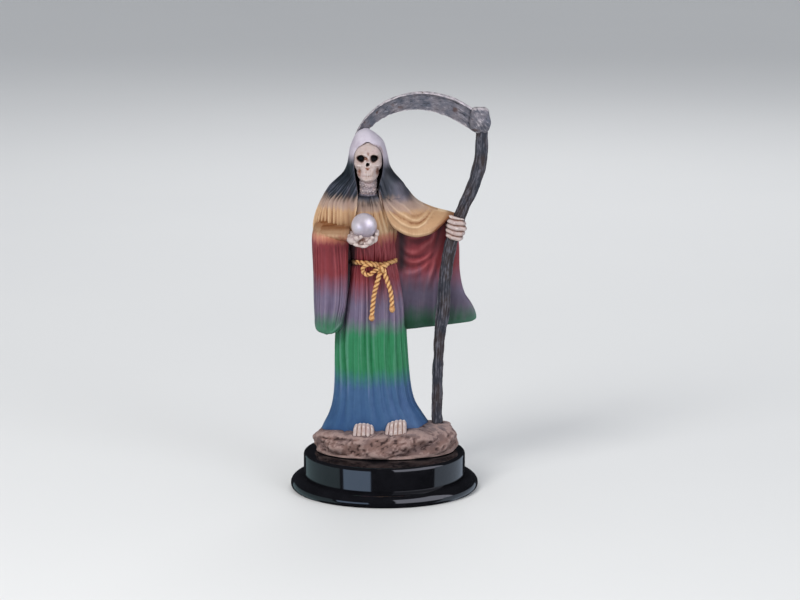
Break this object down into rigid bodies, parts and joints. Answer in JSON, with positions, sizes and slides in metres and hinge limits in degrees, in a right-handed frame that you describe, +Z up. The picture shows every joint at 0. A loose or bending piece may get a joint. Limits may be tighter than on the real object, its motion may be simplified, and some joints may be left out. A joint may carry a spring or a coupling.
{
  "type": "robed skeleton figurine with scythe and ball on a round plinth",
  "caption": "Small painted cast figure of a hooded, robed skeleton with a curved scythe and a pearl ball, on a stepped round plinth.",
  "frame": {"origin": "centre of the plinth's flat underside", "axes": "+Z up through the figure, -Y the way the figure faces, +X towards the scythe's staff"},
  "size_m": [0.0641, 0.0604, 0.1282],
  "materials": {
    "plinth_plastic": "polished black moulded plastic",
    "painted_resin": "cast resin, airbrushed in seven bands with a brown wash in the hollows, satin matt",
    "pearl_ball": "pearlescent grey-lilac gloss"
  },
  "bodies": {
    "root": {"plinth": "plinth_plastic", "figure": "painted_resin", "crystal_ball": "pearl_ball"}
  },
  "joints": []
}
